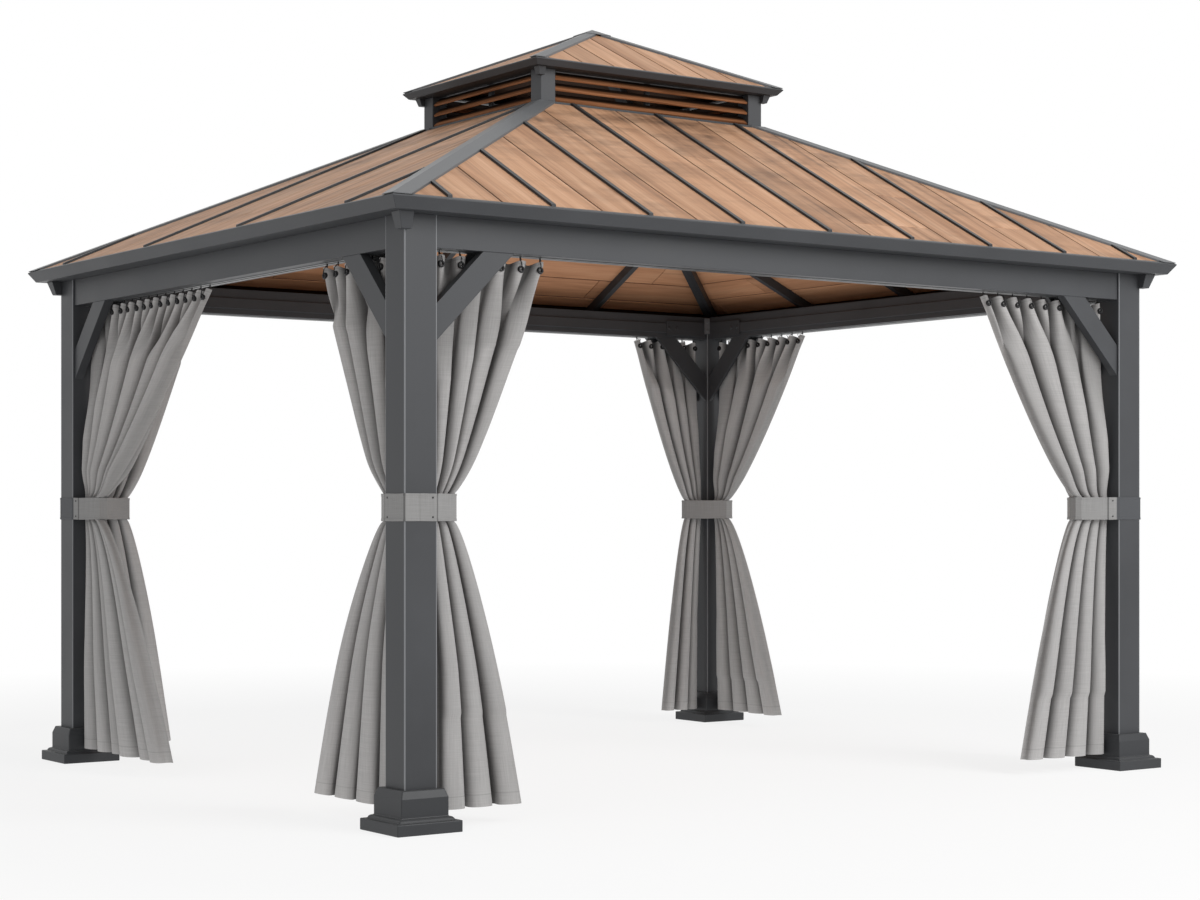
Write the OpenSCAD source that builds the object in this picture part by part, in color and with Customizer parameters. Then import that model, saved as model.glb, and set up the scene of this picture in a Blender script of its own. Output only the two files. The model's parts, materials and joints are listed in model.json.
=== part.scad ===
// Hardtop gazebo: knee-braced posts, a two-tier hipped roof with a louvred vent, tied-back curtains.
// Millimetres. X runs along the long side, Y along the short side and Z is up.
// The origin is on the ground, at the middle of the plan. The front is at low Y.

/* [Frame] */
// Length over the outer faces of the posts
frame_l = 3396; // [2900:1:4200]
// Width over the outer faces of the posts
frame_w = 2768; // [2400:1:3400]
// Side of a square post
post_size = 120; // [90:1:150]
// Wall of the post tube
post_wall = 3; // [2:0.5:6]
// Height of the posts, up to the top of the beams
post_h = 1964; // [1800:1:2300]
// Height of a beam
beam_h = 104; // [90:1:140]
// Wall of the beam and brace tubes
beam_wall = 2.5; // [1.5:0.5:5]
// Step from the outer face of a post back to that of the beam
beam_inset = 8; // [2:1:20]
// Face width of a knee brace
brace_w = 84; // [50:1:110]
// Reach of a knee brace along the post and along the beam
brace_reach = 300; // [220:1:420]
// Thickness of the outer knee brace of a pair
brace_t = 36; // [20:1:40]
// Thickness of the inner one
stay_t = 16; // [10:1:20]
// Gap between the two, in which the curtain hangs
brace_gap = 48; // [46:1:54]
// Step from a face of the beam back to that of the brace
brace_inset = 2; // [0:1:6]
// Thickness of the rail along the inner face of a beam
rail_t = 8; // [3:1:12]
// Height of that rail
rail_h = 44; // [20:1:60]
// Height of the foot of the rail above that of the beam
rail_up = 24; // [10:1:30]
// Length of the plate bolted on the rail, beside a post
splice_l = 230; // [150:1:300]
// Height of that plate
splice_h = 70; // [50:1:78]
// Thickness of that plate
splice_t = 3; // [2:0.5:5]
// Height of the bracket in the corner of two rails
bracket_h = 76; // [60:1:90]
// Reach of that bracket along each rail
bracket_leg = 19; // [14:1:30]
// Width over the flats of a bolt head
bolt_w = 13; // [8:1:16]

/* [Post base] */
// Side of the block round the foot of a post
block_w = 175; // [160:1:220]
// Reach of the step beyond the block
step_out = 15.5; // [6:0.5:30]
// Height of the rounded step
step_h = 12; // [6:1:20]
// Reach of the foot plate beyond the step
plate_out = 17; // [6:0.5:30]
// Height of the foot plate
plate_h = 38; // [20:1:50]
// Height of the whole base
base_h = 138; // [110:1:180]
// Height of the sloped cap of the base
base_cap_h = 26; // [10:1:40]
// Draw-in of the sloped cap
base_cap_in = 9.5; // [2:0.5:14]

/* [Eaves] */
// Reach of the foot of the fascia beyond the posts
fascia_foot = 77; // [60:1:120]
// Lean of the fascia, from its foot out to its nose
fascia_lean = 25; // [10:1:40]
// Height of the leaning face
fascia_h = 36; // [30:1:60]
// Height of the upright nose
nose_h = 4; // [2:1:10]
// Depth of the lip that turns in over the edge of the roof
lip_in = 16; // [8:1:22]
// Rise of that lip
lip_rise = 7; // [4:1:12]
// Thickness of the folded fascia
fascia_t = 3; // [2:0.5:4]
// Reach of a corbel beyond the post, at its top
corbel_out = 44; // [25:1:56]
// Draw-in of the corbel towards its foot
corbel_taper = 18; // [6:1:22]
// Height of a corbel
corbel_h = 54; // [30:1:80]
// Length of a corbel along each face of the post
corbel_wrap = 11; // [5:1:40]

/* [Main roof] */
// Length over the curb that frames the vent
curb_l = 1092; // [900:1:1300]
// Width over the curb
curb_w = 870; // [700:1:1050]
// Width of the top face of the curb
curb_t = 78; // [72:1:110]
// Height of the curb above the roof
curb_up = 10; // [5:1:40]
// Rise of the roof from the eaves to the curb
roof_rise = 556; // [400:1:750]
// Upright thickness of the roof slopes
panel_t = 18; // [10:1:24]
// Upright depth of a rafter
rafter_h = 45; // [30:1:70]
// Width of a rafter
rafter_w = 30; // [20:1:60]
// Spacing of the rafters on the long slopes
rafter_pitch = 1000; // [700:1:1150]
// Spacing of the rafters on the short slopes
side_rafter_pitch = 700; // [500:1:900]
// Width of a hip rafter, measured along the eaves, each side of the hip
hip_rafter_w = 32; // [20:1:50]
// Spacing of the seams on the long slopes
seam_pitch = 395; // [250:1:600]
// Spacing of the seams on the short slopes
side_seam_pitch = 770; // [500:1:900]
// Width of a seam
seam_w = 18; // [10:1:30]
// Height of a seam above the roof
seam_h = 12; // [5:1:20]
// Width of a hip cap, measured along the eaves, each side of the hip
hip_cap_w = 68; // [40:1:110]
// Thickness of the hip caps
cap_t = 3; // [2:0.5:5]

/* [Vent turret] */
// Step from the curb back to the posts of the turret
vent_inset = 9.5; // [2:0.5:10]
// Side of a turret post
vent_post = 68; // [50:1:68]
// Height of a turret post
vent_h = 125; // [90:1:160]
// Slats on each side
slat_count = 3; // [2:1:5]
// Thickness of a slat
slat_t = 8; // [6:1:12]
// Tilt of a slat, its outer edge low
slat_tilt = 40; // [30:1:50]
// Step from the face of the turret posts back to the slats
slat_inset = 4; // [1:1:12]
// Width of the mullion behind the slats
mullion_w = 22; // [12:1:30]
// Depth of that mullion
mullion_t = 14; // [8:1:20]
// Reach of the foot of the turret fascia beyond its posts
vent_foot = 45; // [35:1:70]
// Lean of the turret fascia
vent_lean = 18; // [8:1:30]
// Height of the leaning face of the turret fascia
vent_fascia_h = 20; // [16:1:45]
// Rise of the turret roof
vent_rise = 238; // [180:1:350]
// Upright thickness of the turret roof
vent_panel_t = 9; // [6:1:10]
// Width of a turret hip cap, measured along the eaves, each side of the hip
vent_cap_w = 42; // [25:1:60]
// Lap of the cap on the apex over the ends of the hip caps
apex_lap = 6; // [3:1:30]

/* [Curtains] */
// Width of the channel that the hooks run in
channel_w = 26; // [24:1:34]
// Height of that channel
channel_h = 22; // [16:1:30]
// Width over the flanges of the track
flange_w = 40; // [36:1:44]
// Wall of the track
track_t = 2; // [1:0.5:3]
// Slot in the channel
slot_w = 10; // [6:1:12]
// Drop from the beam to the top of a curtain
curtain_drop = 14; // [8:1:40]
// Thickness of a gathered curtain at its top
curtain_t = 42; // [30:1:46]
// Thickness of a curtain at its hem
hem_t = 150; // [90:1:180]
// Height of the hem above the step of the base
hem_up = 10; // [5:1:60]
// Width of a tied bundle
bundle_w = 100; // [80:1:200]
// Thickness of a tied bundle
bundle_t = 60; // [40:1:62]
// Height of the ties above the ground, at their lower edge
tie_z = 988; // [800:1:1200]
// Height of a tie
tie_h = 88; // [40:1:120]
// Thickness of a tie
tie_t = 2.5; // [1.5:0.5:5]
// Spacing of the hooks, before it is evened out on a curtain
hook_pitch = 75; // [50:1:120]

/* [Hidden] */

// Seating clearance of soft and loose pieces, and the gap between parts that only pass each other
seat = 0.3;
pass = 2;
// Overlap of a cut beyond the face it starts from
over = 1;

SIDES = ["front", "back", "left", "right"];
FRONT_LEFT = [-1, -1];
FRONT_RIGHT = [1, -1];
BACK_LEFT = [-1, 1];
BACK_RIGHT = [1, 1];
CORNERS = [FRONT_LEFT, FRONT_RIGHT, BACK_LEFT, BACK_RIGHT];

frame = [frame_l, frame_w];
beam_t = 2 * brace_inset + brace_t + brace_gap + stay_t;
beam_in = beam_inset + beam_t;
beam_z = post_h - beam_h;
splice_start = post_size + bracket_leg + pass;
bolt_h = 5;
bolt_in = 18;
bolt_pitch = 45;

// Eaves: the roof meets the ground line of its slopes just under the lip of the fascia
lip_gap = 2;
eave_out = fascia_foot + fascia_lean - lip_in;
eave_z = post_h + fascia_h + nose_h + lip_rise - fascia_t - lip_gap;
eave = [frame_l / 2 + eave_out, frame_w / 2 + eave_out];
crown = [curb_l / 2, curb_w / 2];
crown_z = eave_z + roof_rise;
flange_z = post_h + fascia_t;
rafter_end = fascia_foot - fascia_t - pass;
cap_clear = 3;
cap_rise = lip_gap + fascia_t + cap_clear;
cap_reach = fascia_foot + fascia_lean - nose_h;

// Vent turret
curb_z = crown_z + curb_up;
vent = [curb_l - 2 * vent_inset, curb_w - 2 * vent_inset];
vent_top = curb_z + vent_h;
vent_nose = 3;
vent_lip_in = 11;
vent_lip_rise = 5;
vent_out = vent_foot + vent_lean - vent_lip_in;
vent_eave_z = vent_top + vent_fascia_h + vent_nose + vent_lip_rise - fascia_t - lip_gap;
vent_eave = [vent[0] / 2 + vent_out, vent[1] / 2 + vent_out];
vent_flange_z = vent_top + fascia_t;
apex_z = vent_eave_z + vent_rise;
vent_ratio = vent_eave[0] / vent_eave[1];
parting = vent_cap_w * [max(vent_ratio, 1), max(1 / vent_ratio, 1)];
slat_gap = 5;
slat_pitch = vent_h / slat_count;
slat_w = (slat_pitch - slat_t * cos(slat_tilt) - slat_gap) / sin(slat_tilt);
slat_reach = slat_w * cos(slat_tilt) + slat_t * sin(slat_tilt);
vent_corbel_out = 26;
vent_corbel_taper = 10;
vent_corbel_h = 30;
vent_corbel_wrap = 8;
tall = 2 * apex_z;

// Curtains hang under the beams, between the paired braces
slot_d = beam_inset + brace_inset + brace_t + brace_gap / 2;
curtain_top = beam_z - curtain_drop;
curtain_foot = plate_h + step_h + hem_up;
curtain_gap = 7;
curtain_start = post_size / 2 + block_w / 2 + curtain_gap;
bundle_gap = 4;
bundle_start = post_size + bundle_gap;
draw_curve = 0.8;
fall_curve = 0.72;
head_w = 16;
head_h = 6;
stem_d = 5;

// Name, post, true for a curtain along X, span from the post at the top and at the hem
CURTAINS = [
    ["curtain_front_left", FRONT_LEFT, true, 458, 363],
    ["curtain_left_front", FRONT_LEFT, false, 528, 590],
    ["curtain_front_right", FRONT_RIGHT, true, 693, 473],
    ["curtain_right_front", FRONT_RIGHT, false, 450, 430],
    ["curtain_left_back", BACK_LEFT, false, 1136, 792],
    ["curtain_back_left", BACK_LEFT, true, 450, 340],
    ["curtain_back_right", BACK_RIGHT, true, 407, 240],
    ["curtain_right_back", BACK_RIGHT, false, 674, 500]
];

FRAME_PAINT = "#4b4e52";
CAP_PAINT = "#6c6f73";
DARK_PAINT = "#26282a";
WOOD = "#b98660";
LOUVRE_WOOD = "#a5683f";
CLOTH = "#8d8a87";
STRAP = "#9a9896";
TRACK_METAL = "#7d8083";

// Length along a side and width across it, for a pair given as [along X, along Y]
function turned(side, pair) = side == "front" || side == "back" ? pair : [pair[1], pair[0]];

// Takes what is built on the front to another side
module on_side(side) {
    if (side == "front") children();
    if (side == "back") mirror([0, 1, 0]) children();
    if (side == "left") mirror([1, -1, 0]) children();
    if (side == "right") mirror([1, 0, 0]) mirror([1, -1, 0]) children();
}

// Takes what is built in from a corner, along +X and +Y, to that corner of a rectangle
module at_corner(corner, size) {
    translate([corner[0] * size[0] / 2, corner[1] * size[1] / 2, 0])
        mirror([corner[0] > 0 ? 1 : 0, 0, 0])
            mirror([0, corner[1] > 0 ? 1 : 0, 0])
                children();
}

// Swaps X and Y for the pieces on the second face of a corner
module second_face(first) {
    if (first) children();
    if (!first) mirror([1, -1, 0]) children();
}

// Extrudes a section drawn in Y and Z along X, centred
module along_x(length) {
    rotate([90, 0, 90]) linear_extrude(height = length, center = true) children();
}

// Four-sided taper: the same half section along both axes
module four_sided(points) {
    outline = concat(points, [for (i = [len(points) - 1 : -1 : 0]) [-points[i][0], points[i][1]]]);
    reach = 4 * max([for (p = points) p[0]]);
    intersection() {
        along_x(reach) polygon(outline);
        rotate(90) along_x(reach) polygon(outline);
    }
}

// Posts and their bases
module post_block(low, high) {
    translate([0, 0, low]) cube([post_size, post_size, high - low]);
}

module post(corner) {
    inner = post_size - 2 * post_wall;
    color(FRAME_PAINT) at_corner(corner, frame) difference() {
        post_block(0, post_h);
        translate([post_wall, post_wall, -over]) cube([inner, inner, post_h + 2 * over]);
    }
}

function base_section() =
    let (block = block_w / 2, step = block + step_out, plate = step + plate_out)
    let (round_w = min(step_h, step_out), parts = 5)
    concat(
        [[0, 0], [plate, 0], [plate, plate_h]],
        [for (i = [0 : parts])
            [step - round_w + round_w * cos(90 * i / parts), plate_h + step_h * sin(90 * i / parts)]],
        [[block, plate_h + step_h], [block, base_h - base_cap_h],
            [block - base_cap_in, base_h], [0, base_h]]);

module base(corner) {
    color(FRAME_PAINT) at_corner(corner, frame) difference() {
        translate([post_size / 2, post_size / 2, 0]) four_sided(base_section());
        post_block(-over, base_h + over);
    }
}

// Beams: a tube with a rail on its inner face, open below for the curtain track
module beam_section() {
    opening = channel_w + 2 * pass;
    difference() {
        square([beam_t, beam_h]);
        translate([beam_wall, beam_wall]) square([beam_t - 2 * beam_wall, beam_h - 2 * beam_wall]);
        translate([slot_d - beam_inset - opening / 2, -over]) square([opening, beam_wall + 2 * over]);
    }
    translate([beam_t, rail_up]) square([rail_t, rail_h]);
}

module beam(side) {
    size = turned(side, frame);
    color(FRAME_PAINT) on_side(side) translate([0, beam_inset - size[1] / 2, beam_z])
        along_x(size[0] - 2 * post_size) beam_section();
}

// Knee braces: a flat tube near each face of the beam
module brace_face(reach, width) {
    back = reach - width * sqrt(2);
    polygon([[0, -back], [0, -reach], [reach, 0], [back, 0]]);
}

module brace(depth, thick) {
    wall = beam_wall * sqrt(2);
    translate([post_size, depth, beam_z]) rotate([90, 0, 0]) mirror([0, 0, 1]) difference() {
        linear_extrude(height = thick) brace_face(brace_reach, brace_w);
        translate([0, 0, beam_wall]) linear_extrude(height = thick - 2 * beam_wall)
            brace_face(brace_reach - wall, brace_w - 2 * beam_wall);
    }
}

module braces(corner) {
    color(FRAME_PAINT) at_corner(corner, frame) for (first = [true, false]) second_face(first) {
        brace(beam_inset + brace_inset, brace_t);
        brace(beam_in - brace_inset - stay_t, stay_t);
    }
}

module bolt_head() {
    cylinder(d = bolt_w / cos(30), h = bolt_h, $fn = 6);
}

// Plates bolted on the rails, beside the posts
module beam_plates() {
    face = beam_in + rail_t;
    foot = beam_z + rail_up + (rail_h - splice_h) / 2;
    last = splice_start + splice_l - bolt_in;
    color(FRAME_PAINT) for (corner = CORNERS) at_corner(corner, frame) for (first = [true, false])
        second_face(first) {
            translate([splice_start, face, foot]) cube([splice_l, splice_t, splice_h]);
            for (run = [last, last - bolt_pitch])
                translate([run, face + splice_t, foot + splice_h / 2]) rotate([-90, 0, 0]) bolt_head();
        }
}

// Brackets across the inner corners, where two rails meet at a post
module corner_brackets() {
    middle = post_size + bracket_leg / 2;
    color(CAP_PAINT) for (corner = CORNERS) at_corner(corner, frame)
        translate([0, 0, post_h - pass - bracket_h]) {
            translate([post_size, post_size]) linear_extrude(height = bracket_h)
                polygon([[0, 0], [bracket_leg, 0], [0, bracket_leg]]);
            for (z = [bolt_in, bracket_h - bolt_in])
                translate([middle, middle, z]) rotate([-90, 0, -45]) bolt_head();
        }
}

// Tapered corbel wrapped round the outer corner of a post head
module corbel(out, taper, height, wrap, top, size) {
    section = [[-out, 0], [wrap, 0], [wrap, -height], [taper - out, -height]];
    reach = 4 * out + 4 * wrap;
    translate([0, 0, top]) difference() {
        intersection() {
            along_x(reach) polygon(section);
            mirror([1, -1, 0]) along_x(reach) polygon(section);
        }
        translate([0, 0, -height - over]) cube([size, size, height + 2 * over]);
    }
}

module post_corbels() {
    color(FRAME_PAINT) for (corner = CORNERS) at_corner(corner, frame)
        corbel(corbel_out, corbel_taper, corbel_h, corbel_wrap, post_h, post_size);
}

// Folded fascia: a flange on the beams, a leaning face, a nose and a lip over the roof
function fascia_section(foot, lean, height, nose, lip, rise, flange) =
    let (top = height + nose, tip = foot + lean, slant = fascia_t * lean / height)
    [[-flange, 0], [foot, 0], [tip, height], [tip, top], [tip - lip, top + rise],
        [tip - lip, top + rise - fascia_t], [tip - fascia_t, top - fascia_t + rise * fascia_t / lip],
        [tip - fascia_t, height], [foot - fascia_t + slant, fascia_t], [-flange, fascia_t]];

// Plan of one side, cut at 45 degrees at both corners
module mitre_plan(size, out, in) {
    linear_extrude(height = tall) polygon([
        [-size[0] / 2 - out, -size[1] / 2 - out], [size[0] / 2 + out, -size[1] / 2 - out],
        [size[0] / 2 - in, in - size[1] / 2], [in - size[0] / 2, in - size[1] / 2]]);
}

module fascia_run(size, section, z, out, in) {
    intersection() {
        translate([0, -size[1] / 2, z]) along_x(size[0] + 2 * out)
            polygon([for (p = section) [-p[0], p[1]]]);
        mitre_plan(size, out, in);
    }
}

module fascia(side) {
    section = fascia_section(fascia_foot, fascia_lean, fascia_h, nose_h, lip_in, lip_rise, beam_in);
    color(FRAME_PAINT) on_side(side)
        fascia_run(turned(side, frame), section, post_h, fascia_foot + fascia_lean, beam_in);
}

// Roof slopes. A layer lies between two heights above the plane of a slope.
module slope_layer(foot, foot_z, head, head_z, low, high, out = 0) {
    drop = out * (head_z - foot_z) / (foot[1] - head[1]);
    edge = foot[1] + out;
    along_x(2 * (foot[0] + out)) polygon([
        [-edge, foot_z - drop + low], [-head[1], head_z + low],
        [-head[1], head_z + high], [-edge, foot_z - drop + high]]);
}

// Plan of a slope between its hips, with each hip line moved in along the eaves
module slope_plan(foot, head, in = 0) {
    linear_extrude(height = tall) polygon([
        [in - foot[0], -foot[1]], [foot[0] - in, -foot[1]],
        [max(head[0] - in, 0), -head[1]], [min(in - head[0], 0), -head[1]]]);
}

// Strips each side of the four hips, in plan; reach is the share of the run beyond the eaves
module hip_plan(foot, head, width, reach) {
    tip = 2 * foot - head;
    intersection() {
        for (corner = CORNERS) at_corner(corner, [0, 0]) linear_extrude(height = tall) polygon([
            -tip, [width, 0] - tip, [width, 0] - head, -head, [0, width] - head, [0, width] - tip]);
        plan_box(foot + reach * (foot - head), 0);
    }
}

module plan_box(half, out) {
    translate([-half[0] - out, -half[1] - out, 0])
        cube([2 * (half[0] + out), 2 * (half[1] + out), tall]);
}

module roof_panel(side) {
    foot = turned(side, eave);
    head = turned(side, crown);
    color(WOOD) on_side(side) intersection() {
        slope_layer(foot, eave_z, head, crown_z, -panel_t, 0);
        slope_plan(foot, head);
    }
}

// Bars down a slope, centred on a line at x, between the hips
module slope_bar(side, x, width, low, high, hip_in, end_in, floor_z) {
    foot = turned(side, eave);
    head = turned(side, crown);
    on_side(side) intersection() {
        slope_layer(foot, eave_z, head, crown_z, low, high);
        slope_plan(foot, head, hip_in);
        translate([x - width / 2, end_in - foot[1], floor_z]) cube([width, foot[1] - end_in, tall]);
    }
}

// Places along a slope at which a bar of a given pitch has room beside the hip
function slope_places(half, pitch, first) =
    [for (x = [first : pitch : half - pitch / 4]) x];

function both_ways(places) = concat(places, [for (x = places) if (x > 0) -x]);

module roof_seams() {
    hip_in = hip_cap_w + pass;
    long = both_ways(slope_places(eave[0], seam_pitch, 0));
    short = both_ways(slope_places(eave[1], side_seam_pitch, side_seam_pitch / 2));
    color(DARK_PAINT) for (side = SIDES) {
        for (x = side == "front" || side == "back" ? long : short)
            slope_bar(side, x, seam_w, 0, seam_h, hip_in, pass, 0);
    }
}

module rafters() {
    low = -panel_t - rafter_h;
    end_in = eave_out - rafter_end;
    color(FRAME_PAINT) for (side = SIDES) {
        pitch = turned(side, [rafter_pitch, side_rafter_pitch])[0];
        for (x = [-1, 0, 1] * pitch)
            slope_bar(side, x, rafter_w, low, -panel_t, hip_rafter_w, end_in, flange_z);
    }
}

// A layer of all four slopes, joined along the hips and running on beyond the eaves
module tier_layer(foot_xy, foot_z, head_xy, head_z, low, high) {
    for (side = SIDES) {
        foot = turned(side, foot_xy);
        head = turned(side, head_xy);
        on_side(side) intersection() {
            slope_layer(foot, foot_z, head, head_z, low, high, foot[1] - head[1]);
            slope_plan(2 * foot - head, head);
        }
    }
}

// The part of such a layer that lies along the hips, to a distance beyond the eaves
module hip_layer(foot, foot_z, head, head_z, width, low, high, out) {
    intersection() {
        tier_layer(foot, foot_z, head, head_z, low, high);
        hip_plan(foot, head, width, out / min(foot[0] - head[0], foot[1] - head[1]));
    }
}

module hip_rafters() {
    color(FRAME_PAINT) intersection() {
        hip_layer(eave, eave_z, crown, crown_z, hip_rafter_w,
            -panel_t - rafter_h, -panel_t, rafter_end - eave_out);
        translate([0, 0, flange_z]) plan_box(eave, 0);
    }
}

// Folded cap: a raised strip along each hip with hems down to the roof
module hip_cap_set(foot, foot_z, head, head_z, width, out) {
    difference() {
        union() {
            hip_layer(foot, foot_z, head, head_z, width, cap_rise, cap_rise + cap_t, out);
            hip_layer(foot, foot_z, head, head_z, width, 0, cap_rise + cap_t, -pass);
        }
        hip_layer(foot, foot_z, head, head_z, width - cap_t, -over, cap_rise, out + over);
    }
}

module hip_caps() {
    color(CAP_PAINT) hip_cap_set(eave, eave_z, crown, crown_z, hip_cap_w, cap_reach - eave_out);
}

// Vent turret
module vent_curb() {
    low = crown_z - panel_t - rafter_h;
    inner = [curb_l - 2 * curb_t, curb_w - 2 * curb_t];
    color(FRAME_PAINT) translate([0, 0, low]) linear_extrude(height = curb_z - low) difference() {
        square([curb_l, curb_w], center = true);
        square(inner, center = true);
    }
}

module vent_posts() {
    color(FRAME_PAINT) for (corner = CORNERS) at_corner(corner, vent)
        translate([0, 0, curb_z]) cube([vent_post, vent_post, vent_h]);
}

module vent_louvres() {
    color(LOUVRE_WOOD) for (side = SIDES) {
        size = turned(side, vent);
        on_side(side) for (i = [0 : slat_count - 1])
            translate([0, slat_inset + slat_reach / 2 - size[1] / 2, curb_z + slat_pitch * (i + 0.5)])
                along_x(size[0] - 2 * vent_post) rotate(slat_tilt) square([slat_w, slat_t], center = true);
    }
}

module vent_mullions() {
    color(FRAME_PAINT) for (side = SIDES) on_side(side)
        translate([-mullion_w / 2, slat_inset + slat_reach + seat - turned(side, vent)[1] / 2, curb_z])
            cube([mullion_w, mullion_t, vent_h]);
}

module vent_corbels() {
    color(FRAME_PAINT) for (corner = CORNERS) at_corner(corner, vent)
        corbel(vent_corbel_out, vent_corbel_taper, vent_corbel_h, vent_corbel_wrap, vent_top, vent_post);
}

module vent_fascia() {
    section = fascia_section(vent_foot, vent_lean, vent_fascia_h, vent_nose, vent_lip_in,
        vent_lip_rise, vent_post);
    color(FRAME_PAINT) for (side = SIDES) on_side(side)
        fascia_run(turned(side, vent), section, vent_top, vent_foot + vent_lean, vent_post);
}

module vent_hip_rafters() {
    end = vent_foot - fascia_t - pass - vent_out;
    color(FRAME_PAINT) intersection() {
        hip_layer(vent_eave, vent_eave_z, [0, 0], apex_z, hip_rafter_w,
            -vent_panel_t - rafter_h, -vent_panel_t, end);
        translate([0, 0, vent_flange_z]) plan_box(vent_eave, 0);
    }
}

module vent_roof(side) {
    foot = turned(side, vent_eave);
    color(WOOD) on_side(side) intersection() {
        slope_layer(foot, vent_eave_z, [0, 0], apex_z, -vent_panel_t, 0);
        slope_plan(foot, [0, 0]);
    }
}

module vent_hip_caps() {
    color(CAP_PAINT) difference() {
        hip_cap_set(vent_eave, vent_eave_z, [0, 0], apex_z, vent_cap_w, vent_lip_in - vent_nose);
        plan_box(parting, pass);
    }
}

module apex_cap() {
    low = cap_rise + cap_t;
    half = vent_eave * ((parting[0] + pass + apex_lap) / vent_eave[0]);
    color(CAP_PAINT) for (side = SIDES) {
        foot = turned(side, vent_eave);
        on_side(side) intersection() {
            slope_layer(foot, vent_eave_z, [0, 0], apex_z, low, low + cap_t);
            slope_plan(turned(side, half), [0, 0]);
        }
    }
}

// Curtain track: a slotted channel up inside the beam, with flanges under it
module track_section() {
    near = slot_d - channel_w / 2;
    translate([near, channel_h - track_t]) square([channel_w, track_t]);
    for (x = [near, near + channel_w - track_t])
        translate([x, -track_t]) square([track_t, channel_h + track_t]);
    for (x = [slot_d - flange_w / 2, slot_d + slot_w / 2])
        translate([x, -track_t]) square([(flange_w - slot_w) / 2, track_t]);
}

module curtain_tracks() {
    color(TRACK_METAL) for (side = SIDES) {
        size = turned(side, frame);
        on_side(side) translate([0, -size[1] / 2, beam_z])
            along_x(size[0] - 2 * (post_size + pass)) track_section();
    }
}

// Hooks: a runner on the lips of the channel and a stem down to the curtain
module curtain_hook() {
    foot = curtain_top + seat;
    translate([0, 0, foot]) cylinder(d = stem_d, h = beam_z + over - foot, $fn = 24);
    translate([-head_w / 2, -head_w / 2, beam_z]) cube([head_w, head_w, head_h]);
}

module curtain_hooks() {
    color(TRACK_METAL) for (c = CURTAINS) at_corner(c[1], frame) second_face(c[2]) {
        first = curtain_start + head_w;
        last = post_size + c[3] - head_w;
        count = round((last - first) / hook_pitch);
        for (i = [0 : count]) translate([between(first, last, i / count), slot_d, 0]) curtain_hook();
    }
}

// Plan of a gathered curtain between two places along the side, with its corners cut
function gather_plan(start, end, thick) =
    let (near = slot_d - thick / 2, far = slot_d + thick / 2, cut = min(thick, end - start) / 4)
    [[start, near + cut], [start + cut, near], [end - cut, near], [end, near + cut], [end, far - cut],
        [end - cut, far], [start + cut, far], [start, far - cut]];

module gather_slice(z, start, end, thick) {
    translate([0, 0, z]) linear_extrude(height = seat) polygon(gather_plan(start, end, thick));
}

// Share of the way from a to b
function between(a, b, share) = a + (b - a) * share;

// Slices of a curtain above the tie, from 0 at the tie to 1 at the track
module upper_slice(top_end, share) {
    drawn = pow(share, draw_curve);
    gather_slice(between(tie_z + tie_h, curtain_top - seat, share),
        between(bundle_start, curtain_start, drawn),
        between(bundle_start + bundle_w, top_end, drawn),
        between(bundle_t, curtain_t, drawn));
}

// Slices below the tie, from 0 at the tie to 1 at the hem
module lower_slice(hem_end, share) {
    gather_slice(between(tie_z - seat, curtain_foot, share),
        between(bundle_start, curtain_start, min(1, 2 * share)),
        between(bundle_start + bundle_w, hem_end, pow(share, fall_curve)),
        between(bundle_t, hem_t, share));
}

module curtain(index) {
    c = CURTAINS[index];
    above = 4;
    below = 3;
    color(CLOTH) at_corner(c[1], frame) second_face(c[2]) {
        for (i = [0 : above - 1]) {
            hull() {
                upper_slice(post_size + c[3], i / above);
                upper_slice(post_size + c[3], (i + 1) / above);
            }
        }
        translate([0, 0, tie_z - seat]) linear_extrude(height = tie_h + 2 * seat)
            polygon(gather_plan(bundle_start, bundle_start + bundle_w, bundle_t));
        for (i = [0 : below - 1]) {
            hull() {
                lower_slice(post_size + c[4], i / below);
                lower_slice(post_size + c[4], (i + 1) / below);
            }
        }
    }
}

// Tie: a strap drawn round the post and both bundles
module tie_outline(out) {
    bundle = gather_plan(bundle_start, bundle_start + bundle_w, bundle_t);
    offset(delta = out) hull() {
        square(post_size);
        polygon(bundle);
        mirror([1, -1]) polygon(bundle);
    }
}

module curtain_ties() {
    color(STRAP) for (corner = CORNERS) at_corner(corner, frame)
        translate([0, 0, tie_z]) linear_extrude(height = tie_h) difference() {
            tie_outline(seat + tie_t);
            tie_outline(seat);
        }
}

post(FRONT_LEFT);  // post_front_left
post(FRONT_RIGHT);  // post_front_right
post(BACK_LEFT);  // post_back_left
post(BACK_RIGHT);  // post_back_right
base(FRONT_LEFT);  // base_front_left
base(FRONT_RIGHT);  // base_front_right
base(BACK_LEFT);  // base_back_left
base(BACK_RIGHT);  // base_back_right
beam("front");  // beam_front
beam("back");  // beam_back
beam("left");  // beam_left
beam("right");  // beam_right
braces(FRONT_LEFT);  // braces_front_left
braces(FRONT_RIGHT);  // braces_front_right
braces(BACK_LEFT);  // braces_back_left
braces(BACK_RIGHT);  // braces_back_right
post_corbels();
beam_plates();
corner_brackets();
fascia("front");  // fascia_front
fascia("back");  // fascia_back
fascia("left");  // fascia_left
fascia("right");  // fascia_right
roof_panel("front");  // roof_front
roof_panel("back");  // roof_back
roof_panel("left");  // roof_left
roof_panel("right");  // roof_right
roof_seams();
hip_caps();
rafters();
hip_rafters();
vent_curb();
vent_posts();
vent_louvres();
vent_mullions();
vent_corbels();
vent_fascia();
vent_hip_rafters();
vent_roof("front");  // vent_roof_front
vent_roof("back");  // vent_roof_back
vent_roof("left");  // vent_roof_left
vent_roof("right");  // vent_roof_right
vent_hip_caps();
apex_cap();
curtain_tracks();
curtain_hooks();
curtain(0);  // curtain_front_left
curtain(1);  // curtain_left_front
curtain(2);  // curtain_front_right
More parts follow.
